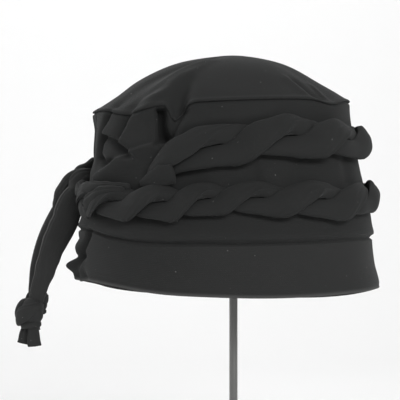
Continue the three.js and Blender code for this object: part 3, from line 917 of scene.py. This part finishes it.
def crownPlace(angle, share, climb, lift):
    seamH = seamAt(angle) - slitDip(angle) * ramp(share, crownSet["slitFrom"], 1)
    wallFolds = sideLift(angle, seamH) * ramp(share, crownSet["wallFoldsFrom"], 1)
    seam = wallPlace(angle, seamH + capSet["seamGap"], lift * share + wallFolds)
    x = crownSet["apexX"] + (seam[..., 0] - crownSet["apexX"]) * share
    y = seam[..., 1] * share
    top = rimHeight + crownSet["apexHeight"]
    drop = (top - seam[..., 2]) * share ** crownSet["domePower"]
    swell = foldLift(x, y, crownFolds) * ramp(1 - share, 0, crownSet["swellWithin"])
    flat = np.stack([x, y, 0 * x], -1)
    waves = crownSet["waves"] * ripple(flat, crownSet["waveSize"], crownSet["seed"])
    waves = waves * ramp(1 - share, *crownSet["wavesWithin"])
    overhang = crownSet["overhang"] * bell(share, crownSet["overhangAt"], crownSet["overhangWide"])
    grow = 1 + overhang / crownSet["overhangRadius"]
    z = top - drop + swell + waves + lift * (1 - share**4) - climb
    return np.stack([x * grow, y * grow, z], -1), share * crownSet["mapRadius"]


def makeCrownTop():
    shares = np.concatenate([np.linspace(1, 0.9, 16), np.linspace(0.89, 0, 60)])
    half = capSet["thickness"] / 2
    outside = [(share, 0, 0) for share in shares]
    inside = [(share, 0, -2 * half) for share in shares[::-1]]
    edge = [(1, crownSet["edgeBulge"] * math.sin(b), -half - half * math.cos(b))
            for b in crownSet["edgeTurns"]]
    rows = outside + inside + edge + outside[:1]
    piece = clothWall("crownTop", rows, crownSet["columns"], crownPlace)
    seat(piece, "jersey", "crown_top")


makeBand()
makeCrownSide()
makeCrownTop()
print("cap made")


# twists: a path of heights on the wall, and the places where leaves cross the middle
lowerTwist = {
    "halfHeight": 12.5,
    "halfDepth": 5.0,
    "steps": 620,
    "seed": 91,
    "notch": 9.0,  # how much a leaf is rounded off where it turns over the top
    "shear": 2.2,  # degrees the leaves' tops are pulled back towards the near end
    "snap": -0.4,  # below 0 the leaves turn over quickly and then lie long and slanting
    "path": table(("angle", "h", "half"), [
        (181, 60, 6), (203, 55.5, 9.5), (216, 55.3, 11), (245, 56.3, 11.2), (252, 57.2, 11), (268, 60.2, 9.5),
        (290, 60.2, 10.9), (316, 58.9, 11.7), (335, 60, 9.8), (350, 62.5, 8.8), (360, 64.2, 7.8),
        (372, 62.5, 8.8), (390, 57.5, 12), (504, 57, 12), (526, 60, 7),
    ]),
    "turns": table(("angle", "leaf"), [
        (181, -1.7), (206, -0.75), (221.3, 0), (242.8, 1), (259.5, 2), (277.5, 3), (302, 4), (328.5, 5),
        (360, 6.4), (526, 13.6),
    ]),
}
upperTwist = {
    "halfHeight": 13.0,
    "halfDepth": 5.0,
    "steps": 480,
    "seed": 95,
    "notch": 5.5,
    "shear": 3.0,
    "snap": -0.4,
    "path": table(("angle", "h", "half"), [
        (234, 66.5, 0.6), (240, 73, 5.8), (246, 79, 10.8), (251, 85.3, 12.4), (258, 89.3, 13.2),
        (271, 93.5, 12.6), (284, 97, 12.6), (320, 98.5, 12.8), (333, 96.5, 10.6), (347, 97.5, 11.2),
        (360, 98, 9.8), (375, 98.5, 12), (400, 98.5, 13), (436, 97, 12.6), (462, 89.3, 13), (474, 79, 10.8),
        (480, 73, 5.8), (486, 66.5, 0.6),
    ]),
    "turns": table(("angle", "leaf"), [
        (234, 0.93), (243, 0.91), (251, 0.8), (257, 0.87), (261.5, 1), (291.8, 2), (323, 3), (360, 4.2),
        (470, 8.8), (486, 8.93),
    ]),
}
leafSet = {
    "lip": 2.0,  # how far the lower right edge stands out over the next leaf
    "tuck": 5.0,  # how far the upper left edge goes in under the last leaf
    "topTuck": 1.6,
    "crevice": 2.4,  # how much deeper the tucked edge goes
    "seat": 6.2,
    "wallGap": 0.4,
    "gap": 0.15,
    "lipRows": 36,
    "backRows": 12,
    "soften": 4,
    "endShare": 0.02,  # share of the length in which an end closes
    "fallLean": (-75, 95),  # leans run from -90 degrees at the lip to 90 at the tucked edge
    "notchLean": (10, 90),
    "creviceLean": (45, 90),
}
creaseSet = {"high": 0.05, "count": 60, "fade": 9, "waves": 0.03, "waveSize": 16, "along": 1.7, "round": 20}
strandMap = {"along": 1.6, "round": 55}


def closedSection(values):  # adds a strand's flat back and rounds its edges
    share = np.linspace(0, 1, leafSet["backRows"] + 1)[None, 1:]
    back = values[:, -1:] + (values[:, :1] - values[:, -1:]) * share
    ring = np.concatenate([values, back], 1)[:, :-1]
    for _ in range(leafSet["soften"]):
        ring = (np.roll(ring, 1, 1) + 2 * ring + np.roll(ring, -1, 1)) / 4
    return np.concatenate([ring, ring[:, :1]], 1)


def leafSection(twist, turn):  # a strand's section at each step, turned with the twist
    lean = np.linspace(-90, 90, leafSet["lipRows"] + 1)[None, :]
    side = turn[:, None] + np.radians(lean)
    out = twist["halfDepth"] * np.cos(side)
    up = twist["halfHeight"] * np.sin(side)
    fall = ramp(lean, *leafSet["fallLean"])
    overTop = np.maximum(np.sin(side), 0) ** 2
    lip = leafSet["lip"] - twist["notch"] * overTop * ramp(-lean, *leafSet["notchLean"])
    shift = lip * (1 - fall) - (leafSet["tuck"] + leafSet["topTuck"] * np.sin(side)) * fall
    shift -= leafSet["crevice"] * ramp(lean, *leafSet["creviceLean"])
    grow = 1 + shift / np.hypot(out, up)
    return closedSection(out * grow), closedSection(up * grow)


def strandCreases(degrees, around, seed):  # fine lines along the leaf's edge, and slow waves
    lines = creaseSet["high"] * np.cos(around * creaseSet["count"]) * np.exp(-around * creaseSet["fade"])
    grain = np.broadcast_arrays(degrees * creaseSet["along"], around * creaseSet["round"], 0.0)
    return lines + creaseSet["waves"] * ripple(np.stack(grain, -1), creaseSet["waveSize"], seed)


def strandPlaces(twist, second):
    share = np.linspace(0, 1, twist["steps"] + 1)[:, None]
    first, last = twist["path"][0]["angle"], twist["path"][-1]["angle"]
    degrees = first + share * (last - first)
    h = smoothTable(twist["path"], "angle", "h")(degrees)
    size = smoothTable(twist["path"], "angle", "half")(degrees) / twist["halfHeight"]
    leaf = smoothTable(twist["turns"], "angle", "leaf")(degrees)
    leaf = leaf + twist["snap"] * np.sin(2 * math.pi * leaf) / (2 * math.pi)
    turn = math.pi * (leaf - (1.5 if second else 0.5))  # the second strand lies half a turn behind
    out, up = leafSection(twist, turn[:, 0])
    around = np.linspace(0, 1, out.shape[1])[None, :]
    taper = np.clip(np.minimum(share, 1 - share) / leafSet["endShare"], 0, 1)
    creases = strandCreases(degrees, around, twist["seed"] + second)
    close = np.sqrt(1 - (1 - taper) ** 2) * size * (1 + creases)
    close[:, -1] = close[:, 0]
    out = out * close + leafSet["gap"] * np.cos(turn)
    up = up * close + leafSet["gap"] * np.sin(turn)
    pulled = degrees - twist["shear"] * np.maximum(up, 0) / twist["halfHeight"]
    places = wallPlace(np.radians(pulled), h + up, leafSet["wallGap"] + leafSet["seat"] * size + out)
    uvs = np.stack(np.broadcast_arrays(degrees * strandMap["along"], around * strandMap["round"]), -1)
    return places, uvs


# rolls where the lower twist's near end bunches up and goes on to the knot,
# as (angle, height above the rim, distance off the wall)
endRolls = [
    {"path": [(231, 65, 5), (223.8, 65, 6), (215.8, 64.6, 6.5), (209.2, 63.6, 6.5), (201.2, 62.3, 6),
              (191, 60.5, 4.5)],
     "width": 10, "depth": 6, "shape": (0.4, 0.5, 0.62, 0.8, 0.95, 0.9), "round": 0.035},
    {"path": [(229, 62.6, 5.5), (222, 60.6, 7.5), (216.2, 57.6, 8.5), (211, 53.6, 8.5), (208.5, 49.5, 7.5),
              (211, 45.6, 6.5)],
     "width": 11, "depth": 6.5, "shape": (0.5, 0.75, 1, 1, 0.9, 0.6)},
    {"path": [(196.5, 57, 4), (198, 52.5, 4.5), (203, 48.2, 5), (209.5, 45, 5.5)],
     "width": 10, "depth": 6, "shape": (0.7, 1, 1, 0.6)},
    {"path": [(196, 59.5, 3), (188, 61, 5), (180, 63.5, 6), (172, 67, 6), (166, 70, 5)],
     "width": 10, "depth": 6, "shape": (0.5, 0.8, 0.9, 0.9, 0.7)},
]
# the upper twist's near end, tucked behind the lower twist
upperEnd = [
    {"path": [(234.5, 66.8, 3), (240, 69.6, 6), (245.5, 72.6, 8.6), (250.6, 74, 9.4)],
     "width": 12.5, "depth": 4, "shape": (0.3, 0.75, 1, 1.05), "round": 0.05},
]
rollUsual = {"hint": (0.3, -0.6, 1), "groove": 5.6}
rollSeed = 101


def makeRolls(rolls):
    pieces = []
    for k, roll in enumerate(rolls):
        points = [tuple(wallPlace(np.radians(angle), np.float64(h), lift)) for angle, h, lift in roll["path"]]
        sized = {key: [roll[key] * share for share in roll["shape"]] for key in ("width", "depth")}
        pieces.append(strapObject("roll", points, {**rollUsual, **roll, **sized, "seed": rollSeed + k}))
    return pieces


def makeStrand(name, twist, second, node, extra=()):
    places, uvs = strandPlaces(twist, second)
    piece = gridObject(name, places.transpose(1, 0, 2), uvs.transpose(1, 0, 2), jersey)
    if extra:
        piece = joinPieces(name, [piece, *extra])
    seat(piece, "jersey", node)


makeStrand("lowerStrandA", lowerTwist, False, "lower_twist_strand_a", makeRolls(endRolls))
makeStrand("lowerStrandB", lowerTwist, True, "lower_twist_strand_b")
makeStrand("upperStrandA", upperTwist, False, "upper_twist_strand_a", makeRolls(upperEnd))
makeStrand("upperStrandB", upperTwist, True, "upper_twist_strand_b")
print("twists made")


# stand
standSet = {"steps": 96, "edge": 0.0006, "sharp": 0.7, "domeRise": 3.5, "domeCurve": 9, "domeInner": 0.1}


def makeTurned(name, outline, slotName, node):  # an outline of radius and height turned about the rod's axis
    bm = bmesh.new()
    verts = [bm.verts.new((radius, 0, height)) for radius, height in outline]
    edges = [bm.edges.new(pair) for pair in zip(verts[:-1], verts[1:])]
    bmesh.ops.spin(bm, geom=verts + edges, cent=(0, 0, 0), axis=(0, 0, 1), angle=2 * math.pi,
                   steps=standSet["steps"], use_merge=True, use_duplicate=False)
    bmesh.ops.remove_doubles(bm, verts=bm.verts, dist=weldDistance)
    bmesh.ops.recalc_face_normals(bm, faces=bm.faces)
    joints = [edge for edge in bm.edges if len(edge.link_faces) == 2]
    sharp = [edge for edge in joints if edge.calc_face_angle() > standSet["sharp"]]
    bmesh.ops.bevel(bm, geom=sharp, offset=standSet["edge"], affect="EDGES", segments=3, profile=0.5,
                    material=-1)
    seat(meshObject(name, bm, rodMetal), slotName, node)


def makeDisc(name, slotName, node):
    low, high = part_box(node)
    makeTurned(name, [(0, low.z), (high.x, low.z), (high.x, high.z), (0, high.z)], slotName, node)


def makeStandTop():
    low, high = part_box("stand_top")
    inner = standSet["domeInner"]
    over = []
    for share in np.linspace(1, inner, 10):
        fall = (share - inner) * (standSet["domeRise"] + standSet["domeCurve"] * share) * mm
        over.append((high.x * share, high.z - fall))
    makeTurned("standTop", [(0, low.z), (high.x, low.z), *over, (0, high.z)], "stand_plastic", "stand_top")


makeDisc("standBase", "base_metal", "stand_base")
makeDisc("standRod", "rod_metal", "stand_rod")
makeStandTop()
print("stand made")


# floor, backdrop and light
stageSet = {"half": 3.0, "front": -3.0, "back": 0.7, "bend": 0.5, "height": 3.0, "arcSteps": 24}
floorShader = {"Base Color": (0.9, 0.9, 0.9, 1), "Roughness": 1.0, "Specular IOR Level": 0.0}


def makePaleFloor():  # seen through from behind, so that the sweep hides no view of the back
    material, tree, shader = newFinish("paleFloor", floorShader)
    facing = addNode(tree, "ShaderNodeNewGeometry")
    through = addNode(tree, "ShaderNodeBsdfTransparent")
    either = addNode(tree, "ShaderNodeMixShader")
    tree.links.new(facing.outputs["Backfacing"], either.inputs[0])
    tree.links.new(shader.outputs[0], either.inputs[1])
    tree.links.new(through.outputs[0], either.inputs[2])
    tree.links.new(either.outputs[0], tree.nodes["Material Output"].inputs["Surface"])
    return material


def makeStage():
    bm = bmesh.new()
    arc = [(stageSet["back"] + stageSet["bend"] * math.sin(a), stageSet["bend"] * (1 - math.cos(a)))
           for a in np.linspace(0, math.pi / 2, stageSet["arcSteps"])]
    profile = [(stageSet["front"], 0)] + arc + [(stageSet["back"] + stageSet["bend"], stageSet["height"])]
    verts = [bm.verts.new((-stageSet["half"], y, z)) for y, z in profile]
    edges = [bm.edges.new(pair) for pair in zip(verts[:-1], verts[1:])]
    made = bmesh.ops.extrude_edge_only(bm, edges=edges)
    moved = [item for item in made["geom"] if isinstance(item, bmesh.types.BMVert)]
    bmesh.ops.translate(bm, verts=moved, vec=(2 * stageSet["half"], 0, 0))
    bm.faces.ensure_lookup_table()
    if bm.faces[0].normal.z < 0:
        bmesh.ops.reverse_faces(bm, faces=bm.faces)
    meshObject("floorSweep", bm, makePaleFloor())


lightSet = [
    {"name": "keySoftbox", "place": (-0.9, 0.4, 1.5), "aim": (-0.02, 0, 0.2),
     "size": (0.8, 0.8), "power": 2.7},
    {"name": "frontSoftbox", "place": (0.75, -1.7, 0.95), "aim": (-0.02, 0, 0.2),
     "size": (1.2, 0.5), "power": 16.6},
    {"name": "leftSoftbox", "place": (-1.35, 0.05, 0.45), "aim": (-0.08, 0, 0.2),
     "size": (0.7, 0.6), "power": 3.0},
    {"name": "backdropLight", "place": (0, 0.35, 0.8), "aim": (0, 1.2, 0.05),
     "size": (2.0, 0.9), "power": 7.3},
]
worldStrength = 0.22


def makeLight(setting):
    data = bpy.data.lights.new(setting["name"], "AREA")
    data.shape = "RECTANGLE"
    data.size, data.size_y = setting["size"]
    data.energy = setting["power"]
    light = bpy.data.objects.new(setting["name"], data)
    light.location = setting["place"]
    aim = Vector(setting["aim"]) - Vector(setting["place"])
    light.rotation_euler = aim.to_track_quat("-Z", "Y").to_euler()
    bpy.context.scene.collection.objects.link(light)


def makeWorld():
    world = bpy.data.worlds.new("studio")
    world.use_nodes = True
    background = world.node_tree.nodes["Background"]
    background.inputs["Strength"].default_value = worldStrength
    background.inputs["Color"].default_value = (1, 1, 1, 1)
    bpy.context.scene.world = world
    bpy.context.scene.view_settings.view_transform = "Standard"


makeStage()
for setting in lightSet:
    makeLight(setting)
makeWorld()
print("stage and light made")
